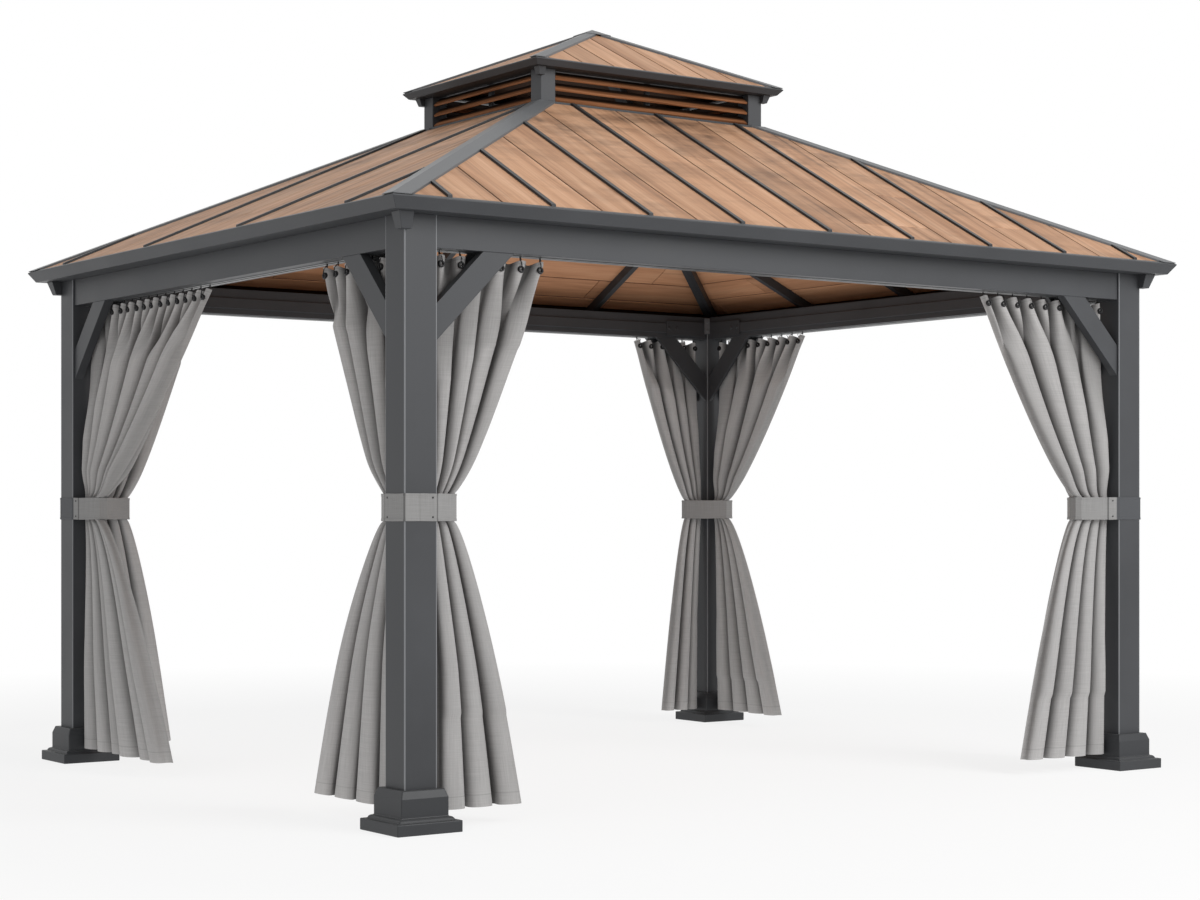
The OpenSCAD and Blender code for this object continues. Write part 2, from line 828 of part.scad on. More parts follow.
curtain(3);  // curtain_right_front
curtain(4);  // curtain_left_back
curtain(5);  // curtain_back_left
curtain(6);  // curtain_back_right
curtain(7);  // curtain_right_back
curtain_ties();
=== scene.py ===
"""Dresses the hardtop gazebo: paint, plank print, gathered curtains, hardware, light and camera.

Metres, in the frame of the solids: X along the long side, Y from the front to the back, Z up.
"""
import json
import math
import random

import bmesh
import bpy
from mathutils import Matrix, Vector


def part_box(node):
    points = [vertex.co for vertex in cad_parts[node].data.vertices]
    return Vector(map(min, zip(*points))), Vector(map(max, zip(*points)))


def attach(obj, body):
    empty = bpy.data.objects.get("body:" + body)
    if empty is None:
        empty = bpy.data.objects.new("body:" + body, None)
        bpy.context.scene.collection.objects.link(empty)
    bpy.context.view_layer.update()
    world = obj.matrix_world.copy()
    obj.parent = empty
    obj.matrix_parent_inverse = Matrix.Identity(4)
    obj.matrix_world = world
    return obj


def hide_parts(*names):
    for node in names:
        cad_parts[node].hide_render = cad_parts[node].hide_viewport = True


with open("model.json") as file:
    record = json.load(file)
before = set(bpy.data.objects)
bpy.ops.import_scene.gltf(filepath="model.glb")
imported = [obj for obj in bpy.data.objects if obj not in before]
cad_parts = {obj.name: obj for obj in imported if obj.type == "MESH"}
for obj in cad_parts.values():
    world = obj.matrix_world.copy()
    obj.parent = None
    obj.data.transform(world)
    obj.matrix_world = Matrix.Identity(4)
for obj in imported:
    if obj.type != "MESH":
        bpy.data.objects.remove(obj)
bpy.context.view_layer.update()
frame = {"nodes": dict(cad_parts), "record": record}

SIDES = ("front", "back", "left", "right")
CORNERS = {"front_left": (-1, -1), "front_right": (1, -1),
           "back_left": (-1, 1), "back_right": (1, 1)}

# Frame of posts
post_low, post_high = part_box("post_front_left")
HALF_X = -post_low.x
HALF_Y = -post_low.y
POST = post_high.x - post_low.x


# Node trees


def new_material(name):
    """A material with an empty principled shader; returns it, its tree and the shader."""
    made = bpy.data.materials.new(name)
    made.use_nodes = True
    return made, made.node_tree, made.node_tree.nodes["Principled BSDF"]


def plug(tree, socket, value):
    """Links another node's output to a socket, or sets the socket's own value."""
    if isinstance(value, bpy.types.NodeSocket):
        tree.links.new(value, socket)
    else:
        socket.default_value = value


def add(tree, kind, sockets=None, **settings):
    """Adds a node; sockets maps an input's name or number to a value or another node's output."""
    node = tree.nodes.new("ShaderNode" + kind)
    for name, value in settings.items():
        setattr(node, name, value)
    for key, value in (sockets or {}).items():
        plug(tree, node.inputs[key], value)
    return node


def math_node(tree, operation, *values):
    return add(tree, "Math", dict(enumerate(values)), operation=operation).outputs[0]


def blend(tree, first, second, share):
    """A share of the first value and the rest of the second."""
    return math_node(tree, "ADD", math_node(tree, "MULTIPLY", first, share),
                     math_node(tree, "MULTIPLY", second, 1 - share))


def remap(tree, value, low, high, to_low, to_high):
    sockets = {"Value": value, "From Min": low, "From Max": high,
               "To Min": to_low, "To Max": to_high}
    return add(tree, "MapRange", sockets).outputs[0]


def noise(tree, vector, scale, detail=2.0, rough=0.5):
    sockets = {"Vector": vector, "Scale": scale, "Detail": detail, "Roughness": rough}
    return add(tree, "TexNoise", sockets).outputs["Fac"]


def stretched(tree, vector, scale):
    return add(tree, "Mapping", {"Vector": vector, "Scale": scale}).outputs[0]


def axes_of(tree, vector):
    return add(tree, "SeparateXYZ", {0: vector}).outputs


def mix_colour(tree, factor, first, second, blend_type="MIX"):
    sockets = {0: factor, 6: first, 7: second}
    return add(tree, "Mix", sockets, data_type="RGBA", blend_type=blend_type).outputs[2]


def scaled(tree, colour, factor):
    return add(tree, "VectorMath", {0: colour, 3: factor}, operation="SCALE").outputs[0]


def ramp(tree, factor, stops):
    stops = list(stops)
    node = add(tree, "ValToRGB", {"Fac": factor})
    elements = node.color_ramp.elements
    while len(elements) < len(stops):
        elements.new(0.5)
    for element, (place, colour) in zip(elements, stops):
        element.position = place
        element.color = (*colour, 1)
    return node.outputs[0]


def bump(tree, height, strength, distance):
    sockets = {"Height": height, "Strength": strength, "Distance": distance}
    return add(tree, "Bump", sockets).outputs[0]


def object_coords(tree):
    return add(tree, "TexCoord").outputs["Object"]


def geometry(tree, output):
    return add(tree, "NewGeometry").outputs[output]


def attribute(tree, name, output="Vector"):
    return add(tree, "Attribute", attribute_name=name).outputs[output]


def directly_seen(tree):
    """1 for what the camera sees, also in a mirror or through glass, else 0."""
    path = add(tree, "LightPath").outputs
    return math_node(tree, "MAXIMUM", path["Is Camera Ray"],
                     math_node(tree, "MAXIMUM", path["Is Glossy Ray"], path["Is Transmission Ray"]))


def feed(tree, shader, **inputs):
    """Plugs values into the shader's inputs; an underscore stands for a blank in a name."""
    for name, value in inputs.items():
        plug(tree, shader.inputs[name.replace("_", " ")], value)


# Materials


FRAME_GREY = (0.047, 0.049, 0.053)
BAND_GREY = tuple(1.5 * c for c in FRAME_GREY)
# Grey of the painted highlight along the posts' arrises
ARRIS_HIGHLIGHT_GREY = (0.20, 0.205, 0.215)
BASE_GREY = (0.036, 0.0378, 0.041)
CAP_GREY = (0.105, 0.109, 0.115)
SEAM_GREY = (0.022, 0.023, 0.025)
TRACK_GREY = (0.05, 0.052, 0.055)
BLACK = (0.012, 0.012, 0.013)
DUST_GREY = (0.42, 0.42, 0.41)
CLOTH_GREY = (0.49, 0.481, 0.475)
STRAP_GREY = (0.25, 0.247, 0.244)

# Colours of the prints, from the dark of the grain to the light
TIMBER = ((0.31, 0.152, 0.08), (0.52, 0.29, 0.168), (0.68, 0.425, 0.275))
CEILING = ((0.37, 0.168, 0.083), (0.555, 0.277, 0.149), (0.67, 0.378, 0.22))
GROOVE = ((0.035, 0.018, 0.01), (0.05, 0.025, 0.014), (0.07, 0.036, 0.02))
SLATS = ((0.12, 0.044, 0.017), (0.25, 0.102, 0.044), (0.37, 0.166, 0.078))

# Paint: how far its tone goes up and down, the most dust, and the width of the painted highlight on
# the arris
PAINT_LIFT = 1.18
DUST_MOST = 0.16
ARRIS_W = 0.0045
ARRIS_CORE = 0.6

# Roof print: darkest and lightest plank, depth of a streak, sway of the grain
PLANK_TONES = (0.86, 1.12)
STREAK_DEPTH = 0.34
GRAIN_SWAY = 0.06

# Height of the crown, where the turret stands on the main roof, and where the roof grows darker
# round it
CROWN_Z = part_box("roof_front")[1].z
DARKEN_FROM = CROWN_Z - 0.34
DARKEN_FULL = CROWN_Z - 0.04
DARKEN_STOP = CROWN_Z + 0.02
DARKEN_END = CROWN_Z + 0.05
DARKEN_LEAST = 0.4

# Slats: half sizes over their outer edges, the width there without painted shade, and the painted
# shade's tone further in
LOUVRE_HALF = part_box("vent_louvres")[1][:2]
SLAT_LIT = 0.010
SLAT_BLUR = 2.2
SLAT_SHADE_TONE = 0.04

# Sewn lines of a curtain, at its header and above its hem
curtain_low, curtain_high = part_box("curtain_front_left")
SEWN_LINES = (curtain_high.z - 0.010, curtain_low.z + 0.040)
SEWN_HALF = 0.0008
SEWN_BLUR = 0.0022


def arris_highlight_share(tree, place):
    """1 on the upright edges of the posts, where the coat gets a painted highlight, else 0."""
    off = []
    for axis, half in zip(axes_of(tree, place), (HALF_X, HALF_Y)):
        off_middle = math_node(tree, "SUBTRACT", math_node(tree, "ABSOLUTE", axis), half - POST / 2)
        off.append(math_node(tree, "ABSOLUTE", off_middle))
    nearest = math_node(tree, "MINIMUM", *off)
    return remap(tree, nearest, POST / 2 - ARRIS_W, POST / 2 - ARRIS_CORE * ARRIS_W, 0.0, 1.0)


def paint(name, colour, roughness, arris=None):
    """Satin powder coat: cloudy tone, fine orange peel, dust that settles on faces turned up."""
    made, tree, shader = new_material(name)
    place = object_coords(tree)
    clouds = noise(tree, place, scale=2.3, detail=4.0, rough=0.6)
    speckle = noise(tree, place, scale=420.0)
    peel = noise(tree, place, scale=900.0, detail=1.0)
    light = tuple(c * PAINT_LIFT for c in colour)
    dark = tuple(c / PAINT_LIFT for c in colour)
    body = ramp(tree, blend(tree, clouds, speckle, 0.8), [(0.3, dark), (0.7, light)])
    up = axes_of(tree, geometry(tree, "Normal"))[2]
    dust = math_node(tree, "MULTIPLY", remap(tree, up, 0.6, 1.0, 0.0, DUST_MOST), clouds)
    body = mix_colour(tree, dust, body, (*DUST_GREY, 1))
    # painted highlight along the upright edges of the posts
    if arris:
        body = mix_colour(tree, arris_highlight_share(tree, place), body, (*arris, 1))
    feed(tree, shader, Base_Color=body, Specular_IOR_Level=0.28,
         Roughness=remap(tree, clouds, 0.3, 0.7, roughness - 0.06, roughness + 0.08),
         Normal=bump(tree, peel, strength=0.12, distance=0.0004))
    return made


def crown_darkening(tree):
    """Share of darker patches that lie level across the main roof, most near the turret."""
    place = object_coords(tree)
    height = axes_of(tree, place)[2]
    near = math_node(tree, "MULTIPLY",
                     remap(tree, height, DARKEN_FROM, DARKEN_FULL, DARKEN_LEAST, 1.0),
                     remap(tree, height, DARKEN_STOP, DARKEN_END, 1.0, 0.0))
    level = stretched(tree, place, (1.5, 1.5, 8.0))
    smudge = noise(tree, level, scale=1.7, detail=5.0, rough=0.66)
    return math_node(tree, "MULTIPLY", near, remap(tree, smudge, 0.47, 0.68, 0.0, 1.0))


def plank_print(name, colours, contrast=1.0, crown_darkness=0.0):
    """Wood-grain print: grain along each plank, dark streaks, and a tone for every plank."""
    made, tree, shader = new_material(name)
    grain = attribute(tree, "grain")
    sway = add(tree, "TexNoise", {"Vector": stretched(tree, grain, (0.9, 5.0, 1.0)), "Scale": 1.6})
    bent = mix_colour(tree, GRAIN_SWAY, grain, sway.outputs["Color"], "ADD")
    fine = noise(tree, stretched(tree, bent, (3.0, 95.0, 1.0)), scale=1.5, detail=6.0, rough=0.62)
    broad = noise(tree, stretched(tree, bent, (0.8, 13.0, 1.0)), scale=1.3, detail=3.0, rough=0.55)
    streak = noise(tree, stretched(tree, bent, (1.1, 30.0, 1.0)), scale=1.0)
    level = remap(tree, blend(tree, fine, broad, 0.42), 0.28, 0.72, 0.0, 1.0)
    body = ramp(tree, level, zip((0.05, 0.5, 0.95), colours))
    shade = math_node(tree, "ADD",
                      remap(tree, attribute(tree, "tone", "Fac"), 0.0, 1.0, *PLANK_TONES),
                      remap(tree, streak, 0.56, 0.76, 0.0, -STREAK_DEPTH * contrast))
    if crown_darkness:
        dark = math_node(tree, "MULTIPLY", crown_darkening(tree), crown_darkness)
        shade = math_node(tree, "SUBTRACT", shade, dark)
    feed(tree, shader, Base_Color=scaled(tree, body, shade), Specular_IOR_Level=0.3,
         Roughness=remap(tree, fine, 0.3, 0.7, 0.5, 0.68),
         Normal=bump(tree, fine, strength=0.18, distance=0.0012))
    return made


def slat_print(name):
    """The same print on the turret's slats: grain along X or Y, whichever way a slat runs.

    Only the outer edge of a slat keeps the print's own tone; further in, painted shade darkens it.
    """
    made, tree, shader = new_material(name)
    place = object_coords(tree)
    facing_x = math_node(tree, "ABSOLUTE", axes_of(tree, geometry(tree, "Normal"))[0])
    runs_y = math_node(tree, "GREATER_THAN", facing_x, 0.25)
    grain = mix_colour(tree, runs_y, stretched(tree, place, (2.0, 60.0, 60.0)),
                       stretched(tree, place, (60.0, 2.0, 60.0)))
    fine = noise(tree, grain, scale=1.4, detail=5.0, rough=0.6)
    body = ramp(tree, fine, zip((0.3, 0.5, 0.72), SLATS))
    # painted shade, darker the further in from the slats' outer edges
    inside = [math_node(tree, "SUBTRACT", half, math_node(tree, "ABSOLUTE", axis))
              for half, axis in zip(LOUVRE_HALF, axes_of(tree, place))]
    shade = remap(tree, math_node(tree, "MINIMUM", *inside),
                  SLAT_LIT, SLAT_BLUR * SLAT_LIT, 1.0, SLAT_SHADE_TONE)
    feed(tree, shader, Base_Color=scaled(tree, body, shade), Specular_IOR_Level=0.12,
         Roughness=remap(tree, fine, 0.3, 0.7, 0.45, 0.62),
         Normal=bump(tree, fine, strength=0.15, distance=0.001))
    return made


def hollow_shade_share(tree):
    """Share of painted shade in a fold's hollow: how deep in the fold a point lies, 0 to 1, on the
    side of the cloth that is seen.
    """
    fold = attribute(tree, "fold", "Fac")
    inside = geometry(tree, "Backfacing")
    outside = math_node(tree, "SUBTRACT", 1.0, inside)
    turned = math_node(tree, "SUBTRACT", 1.0, fold)
    seen = math_node(tree, "ADD", math_node(tree, "MULTIPLY", fold, outside),
                     math_node(tree, "MULTIPLY", turned, inside))
    return remap(tree, seen, 0.08, 0.75, 0.0, 1.0)


def weave(tree, axes, thread):
    """Threads that cross over and under each other, -1 to 1."""
    turns = 2 * math.pi / thread
    ways = [math_node(tree, "SINE", math_node(tree, "MULTIPLY", axis, turns)) for axis in axes[:2]]
    return math_node(tree, "MULTIPLY", *ways)


def slubs(tree, flat):
    """Thicker places in the threads, both ways."""
    ways = [noise(tree, stretched(tree, flat, stretch), scale=1.0, detail=3.0, rough=0.6)
            for stretch in ((420.0, 9.0, 1.0), (9.0, 420.0, 1.0))]
    return math_node(tree, "ADD", *ways)


def dark_lines(tree, height, seams):
    """Share of dark line: the cloth's own marks, painted crease shade among them, and sewn lines at
    some heights.
    """
    crease_shade_and_lines = attribute(tree, "crease_shade_and_lines", "Fac")
    for seam in seams:
        off = math_node(tree, "ABSOLUTE", math_node(tree, "SUBTRACT", height, seam))
        crease_shade_and_lines = math_node(tree, "ADD", crease_shade_and_lines, remap(tree, off, SEWN_HALF, SEWN_BLUR, 0.5, 0.0))
    return math_node(tree, "MULTIPLY", crease_shade_and_lines, 0.5)


def cloth(name, colour, thread=0.0011, seams=(), sheer=0.0, hollow=0.0):
    """Woven polyester: crossing threads, slubs and a soft sheen, set out along the cloth itself.

    Seams are heights of sewn lines; the cloth's own marks are dark lines and shares of frame paint.
    Sheer is the share of light that passes through, hollow the strength of the painted shade in the
    depth of a fold.
    """
    made, tree, shader = new_material(name)
    flat = attribute(tree, "cloth")
    axes = axes_of(tree, flat)
    slub = slubs(tree, flat)
    wear = noise(tree, stretched(tree, flat, (4.0, 1.5, 1.0)), scale=1.0, detail=3.0, rough=0.6)
    light, dark, thread_dark = (tuple(c * share for c in colour) for share in (1.12, 0.88, 0.3))
    body = ramp(tree, blend(tree, slub, wear, 0.7), [(0.62, dark), (1.0, light)])
    body = mix_colour(tree, dark_lines(tree, axes[1], seams), body, (*thread_dark, 1))
    body = mix_colour(tree, attribute(tree, "band", "Fac"), body, (*BAND_GREY, 1))
    if hollow:
        # painted shade: darker deeper in the hollow of a fold
        depth = math_node(tree, "MULTIPLY", hollow_shade_share(tree), hollow)
        body = scaled(tree, body, math_node(tree, "SUBTRACT", 1.0, depth))
    threads = math_node(tree, "MULTIPLY", weave(tree, axes, thread), 0.35)
    height = math_node(tree, "ADD", threads, slub)
    feed(tree, shader, Base_Color=body, Roughness=0.9, Specular_IOR_Level=0.2,
         Sheen_Weight=0.18, Sheen_Roughness=0.5,
         Normal=bump(tree, height, strength=0.35, distance=0.0006))
    if sheer:
        through = add(tree, "BsdfTranslucent", {"Color": body}).outputs[0]
        mixed = add(tree, "MixShader", {0: sheer, 1: shader.outputs[0], 2: through}).outputs[0]
        tree.links.new(mixed, tree.nodes["Material Output"].inputs["Surface"])
    return made


MATERIALS = {
    "frame_paint": paint("frame_paint", FRAME_GREY, 0.46),
    # posts: frame paint with a painted highlight on their arrises
    "post_highlight_paint": paint("post_highlight_paint", FRAME_GREY, 0.46, arris=ARRIS_HIGHLIGHT_GREY),
    "base_paint": paint("base_paint", BASE_GREY, 0.46),
    "cap_paint": paint("cap_paint", CAP_GREY, 0.4),
    "seam_paint": paint("seam_paint", SEAM_GREY, 0.42),
    "track_metal": paint("track_metal", TRACK_GREY, 0.34),
    "hook_metal": paint("hook_metal", BLACK, 0.38),
    "plank_print": plank_print("plank_print", TIMBER, crown_darkness=0.62),
    "ceiling_print": plank_print("ceiling_print", CEILING, contrast=0.6),
    "groove": plank_print("groove", GROOVE),
    "louvre_print": slat_print("louvre_print"),
    # curtain cloth, with painted shade in the hollows of its folds
    "curtain_fabric": cloth("curtain_fabric", CLOTH_GREY, seams=SEWN_LINES,
                            sheer=0.35, hollow=0.84),
    "strap_fabric": cloth("strap_fabric", STRAP_GREY, thread=0.0016),
}


# Carried-over solids: paint and softened edges


# Edge radius by the start of a piece's name, and for all others
EDGE_RADII = (("post_corbels", 0.002), ("post", 0.004), ("base", 0.003), ("beam", 0.003),
              ("braces", 0.002), ("vent_post", 0.003), ("vent_louvres", 0.0015))
LEAST_EDGE = 0.0008
SHARP_SLOTS = ("curtain_fabric", "plank_print", "hook_metal")
PANELS = tuple(tier + side for tier in ("roof_", "vent_roof_") for side in SIDES)


def soften(node, width):
    """Rounds a solid's edges with modifiers, over its joined and planar faces."""
    weld = node.modifiers.new("weld", "WELD")
    weld.merge_threshold = 1e-5
    flat = node.modifiers.new("planar", "DECIMATE")
    flat.decimate_type = "DISSOLVE"
    flat.angle_limit = math.radians(0.5)
    edge = node.modifiers.new("edge", "BEVEL")
    edge.width = width
    edge.segments = 2
    edge.limit_method = "ANGLE"
    edge.angle_limit = math.radians(25)


def soft_edge(name):
    return next((width for start, width in EDGE_RADII if name.startswith(start)), LEAST_EDGE)


def look_of(name, slot):
    """A solid's material: that of its slot, apart from roof panels, bases and posts."""
    if name in PANELS:
        return "groove"
    if name.startswith("base"):
        return "base_paint"
    if name.startswith("post_") and name != "post_corbels":
        return "post_highlight_paint"
    return slot


for entry in frame["record"]["subparts"]:
    name, slot = entry["node"], entry["material_slot"]
    cad = frame["nodes"][name]
    cad.data.materials.clear()
    cad.data.materials.append(MATERIALS[look_of(name, slot)])
    if slot not in SHARP_SLOTS:
        soften(cad, soft_edge(name))


# Mesh helpers


def piece(name, bm, material, rounded=False, solid=True):
    """Makes an object of a finished bmesh and lets it ride on the one body."""
    mesh = bpy.data.meshes.new(name)
    if solid:
        bmesh.ops.recalc_face_normals(bm, faces=bm.faces)
    bm.to_mesh(mesh)
    bm.free()
    for polygon in mesh.polygons:
        polygon.use_smooth = rounded
    made = bpy.data.objects.new(name, mesh)
    bpy.context.scene.collection.objects.link(made)
    mesh.materials.append(MATERIALS[material])
    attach(made, "root")
    return made


def band(bm, lower, upper):
    """Faces between two closed loops."""
    for i in range(len(lower)):
        j = (i + 1) % len(lower)
        bm.faces.new((lower[i], lower[j], upper[j], upper[i]))


def skin(bm, loops):
    """Faces over a row of closed loops, and one on each end."""
    for lower, upper in zip(loops, loops[1:]):
        band(bm, lower, upper)
    bm.faces.new(loops[0][::-1])
    bm.faces.new(loops[-1])


def wheel(bm, loops):
    """Faces over closed loops that follow each other in a ring."""
    for lower, upper in zip(loops, loops[1:] + loops[:1]):
        band(bm, lower, upper)


def circle(bm, centre, side, other, radius, count):
    """A loop of points in the plane of two directions."""
    loop = []
    for i in range(count):
        turn = 2 * math.pi * i / count
        out = side * math.cos(turn) + other * math.sin(turn)
        loop.append(bm.verts.new(centre + radius * out))
    return loop


def clip(outline, normal, limit):
    """Keeps the part of a convex plane outline where normal . point <= limit."""
    kept = []
    for i, a in enumerate(outline):
        b = outline[(i + 1) % len(outline)]
        over_a = normal.dot(a) - limit
        over_b = normal.dot(b) - limit
        if over_a <= 0:
            kept.append(a)
        if over_a * over_b < 0:
            kept.append(a.lerp(b, over_a / (over_a - over_b)))
    return kept


def inset(outline, by):
    """Moves every edge of a convex outline, counter-clockwise, inwards."""
    count = len(outline)
    moved = []
    for i in range(count):
        before = (outline[i] - outline[i - 1]).normalized()
        after = (outline[(i + 1) % count] - outline[i]).normalized()
        corner = 1 + before.dot(after)
        side = Vector((-before.y - after.y, before.x + after.x))
        moved.append(outline[i] + side * (by / max(corner, 0.2)))
    return moved


# Roof planks and ceiling boards


class Tier:
    """One hipped roof, read from its solids: half sizes at the eaves and the crown, and heights."""

    def __init__(self, prefix, panel_t):
        front_low, front_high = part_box(prefix + "front")
        left_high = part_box(prefix + "left")[1]
        self.eave = (front_high.x, -front_low.y)
        self.crown = (max(0.0, -left_high.x), max(0.0, -front_high.y))
        self.panel_t = panel_t
        self.eave_z = front_low.z + panel_t
        self.crown_z = front_high.z

    def sizes(self, side):
        """Half length and distance from the middle, at the eave and at the crown."""
        first = 0 if side in ("front", "back") else 1
        return self.eave[first], self.eave[1 - first], self.crown[first], self.crown[1 - first]

    def lift(self, side, along, out, height):
        """A point by its place along the slope, its distance out and its height over the slope."""
        _, eave_out, _, crown_out = self.sizes(side)
        climb = (self.crown_z - self.eave_z) / (eave_out - crown_out)
        z = self.eave_z + (eave_out - out) * climb + height
        return {"front": Vector((along, -out, z)), "back": Vector((along, out, z)),
                "left": Vector((-out, along, z)), "right": Vector((out, along, z))}[side]

    def trim(self, side, outline, hip_in):
        """Cuts a plan outline at the slope's two hips, moved in by hip_in along the eaves."""
        eave_half, eave_out, crown_half, crown_out = self.sizes(side)
        lean = (eave_half - crown_half) / (eave_out - crown_out)
        limit = crown_half - lean * crown_out - hip_in
        for way in (1, -1):
            if len(outline) > 2:
                outline = clip(outline, Vector((way, -lean)), limit)
        return outline


class Boards:
    """Collects boards of one slope in a mesh, each with its own tone and place in the grain."""

    def __init__(self, tier, side, seed):
        self.tier = tier
        self.side = side
        self.bm = bmesh.new()
        self.tone = self.bm.verts.layers.float.new("tone")
        self.grain = self.bm.verts.layers.float_vector.new("grain")
        self.rng = random.Random(seed)

    def lay(self, outline, low, high, chamfer, grain_along):
        """Adds a board on a plan outline between two heights; the chamfer is on the high side."""
        area = sum(a.x * b.y - b.x * a.y for a, b in zip(outline, outline[1:] + outline[:1]))
        if len(outline) < 3 or abs(area) < LEAST_AREA:
            return
        if area < 0:
            outline = outline[::-1]
        tone = self.rng.random()
        shift = Vector((self.rng.uniform(0, GRAIN_ROOM), self.rng.uniform(0, GRAIN_ROOM)))
        ease = math.copysign(chamfer, high - low)
        rings = ((outline, low), (outline, high - ease), (inset(outline, chamfer), high))
        skin(self.bm, [[self.point(p, height, tone, shift, grain_along) for p in ring]
                       for ring, height in rings])

    def point(self, p, height, tone, shift, grain_along):
        vert = self.bm.verts.new(self.tier.lift(self.side, p.x, p.y, height))
        run, across = (p.x, p.y) if grain_along else (p.y, p.x)
        vert[self.tone] = tone
        vert[self.grain] = (run + shift.x, across + shift.y, tone * GRAIN_LAYERS)
        return vert


# Twice the plan area under which a cut-off is left out, and the room in the grain for all boards
LEAST_AREA = 4e-4
GRAIN_ROOM = 40
GRAIN_LAYERS = 7.0

# Planks: size, lift over the panel, tuck under the hip caps, and where joints may lie
PLANK_T = 0.0025
PLANK_GAP = 0.008
PLANK_CHAMFER = 0.0008
PLANK_LIFT = 0.0001
CAP_TUCK = 0.012
END_CLEAR = 0.001
JOINT_FROM = 0.2
JOINT_EAVE = 0.1

# Boards of the ceiling: size, where they stop before eaves and hips, lengths and stagger
BOARD_T = 0.003
BOARD_GAP = 0.007
BOARD_STOP = 0.03
BOARD_EAVE = 0.02
BOARD_HIP = 0.004
BOARD_L = (1.1, 2.0)
BOARD_STAGGER = 1.2


def rectangle(a0, a1, o0, o1):
    return [Vector((a0, o0)), Vector((a1, o0)), Vector((a1, o1)), Vector((a0, o1))]


def roof_planks(name, tier, side, pitch, first, cap_w, seed, joint_share):
    """Planks down a slope, with a few butt joints, cut to tuck in under the hip caps."""
    boards = Boards(tier, side, seed)
    eave_half, eave_out, _, crown_out = tier.sizes(side)
    joint_from = crown_out + JOINT_FROM * (eave_out - crown_out)
    half_gap = PLANK_GAP / 2
    lines = []
    place = first - math.ceil((eave_half + first) / pitch) * pitch
    while place < eave_half + pitch:
        lines.append(place)
        place += pitch
    for start, end in zip(lines, lines[1:]):
        cuts = [crown_out + END_CLEAR, eave_out - END_CLEAR]
        if boards.rng.random() < joint_share:
            cuts.insert(1, boards.rng.uniform(joint_from, eave_out - JOINT_EAVE))
        for o0, o1 in zip(cuts, cuts[1:]):
            outline = rectangle(start + half_gap, end - half_gap,
                                o0 + half_gap / 2, o1 - half_gap / 2)
            outline = tier.trim(side, outline, cap_w - CAP_TUCK)
            boards.lay(outline, PLANK_LIFT, PLANK_T, PLANK_CHAMFER, grain_along=False)
    return piece(name, boards.bm, "plank_print")


def ceiling_boards(name, tier, side, pitch, seed):
    """Boards along the eaves under a slope, with staggered butt joints."""
    boards = Boards(tier, side, seed)
    eave_half, eave_out, _, crown_out = tier.sizes(side)
    under = -tier.panel_t
    out = crown_out + END_CLEAR
    while out < eave_out - BOARD_STOP:
        end = min(out + pitch, eave_out - BOARD_EAVE)
        place = -eave_half - boards.rng.uniform(0.0, BOARD_STAGGER)
        while place < eave_half:
            step = boards.rng.uniform(*BOARD_L)
            outline = rectangle(place, place + step - BOARD_GAP / 2, out, end - BOARD_GAP)
            outline = tier.trim(side, outline, BOARD_HIP)
            boards.lay(outline, under, under - BOARD_T, PLANK_CHAMFER, grain_along=True)
            place += step
        out += pitch
    return piece(name, boards.bm, "ceiling_print")


MAIN = Tier("roof_", panel_t=0.018)
VENT = Tier("vent_roof_", panel_t=0.009)
LONG_PITCH = 0.1975
SHORT_PITCH = 0.385
VENT_PITCH = 0.15
CEILING_PITCH = 0.135
MAIN_CAP_W = 0.068
VENT_CAP_W = 0.042
PLANK_SEED = 11
VENT_SEED = 31
CEILING_SEED = 51
for index, side in enumerate(SIDES):
    main_pitch = LONG_PITCH if side in ("front", "back") else SHORT_PITCH
    roof_planks("planks_" + side, MAIN, side, main_pitch, first=0.0, cap_w=MAIN_CAP_W,
                seed=PLANK_SEED + index, joint_share=0.55)
    roof_planks("vent_planks_" + side, VENT, side, VENT_PITCH, first=VENT_PITCH / 2,
                cap_w=VENT_CAP_W, seed=VENT_SEED + index, joint_share=0.3)
    ceiling_boards("ceiling_" + side, MAIN, side, CEILING_PITCH, seed=CEILING_SEED + index)


# Curtains


tie_low, tie_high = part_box("curtain_ties")
SLOT_D = (curtain_low.y + curtain_high.y) / 2 + HALF_Y
CURTAIN_TOP = curtain_high.z
CURTAIN_FOOT = curtain_low.z
TIE_LOW = tie_low.z
TIE_HIGH = tie_high.z
BRACE_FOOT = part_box("braces_front_left")[0].z

# Start of a curtain, from the post's outer face, at its top and in its bundle; the bundle's width
CURTAIN_START = 0.1545
BUNDLE_START = 0.127
BUNDLE_W = {"front_left": 0.094, "front_right": 0.176, "back_left": 0.132, "back_right": 0.094}

# Powers by which the free edge runs out, from the tie to the top and to the hem
DRAW_CURVE = 0.8
FALL_CURVE = 0.72

# Room for the folds to either side of the slot, and shares of the way over which it opens
HEAD_ROOM = 0.0175
BELLY_ROOM = 0.056
BUNDLE_ROOM = 0.027
HEM_ROOM = 0.060
BELLY_RISE = 0.16
HEM_FALL = 0.7

# Distance from the braces at which the room starts to open, and over which it does
BRACE_CLEAR = 0.03
BRACE_EASE = 0.32

# Share of the way up where the header's small folds start, and how softly two limits of a fold meet
GATHER_FROM = 0.68
EASE_POWER = 4

# Folds: how far they lap over, how tight their valleys are, and how uneven they lie and stand
OVERHANG = 0.20
HEADER_LAP = 0.25
VALLEY_PINCH = 0.30
FOLD_STRAY = 0.2
LOWEST_FOLD = 0.7
HIGHEST_FOLD = 1.1

# Edges of a cloth: height, share of the width over which laps end, and where the painted shade in
# the hollows eases off
EDGE_HEIGHT = 0.1
EDGE_EASE = 0.06
OPEN_EDGE = 0.12
OPEN_HOLLOW = 0.3

# Flat width over drawn-back width; width of a fold and least number, above and below the tie
FULLNESS = 1.5
BELLY_FOLD = 0.19
BELLY_LEAST = 4
HEM_FOLD = 0.135
HEM_LEAST = 3

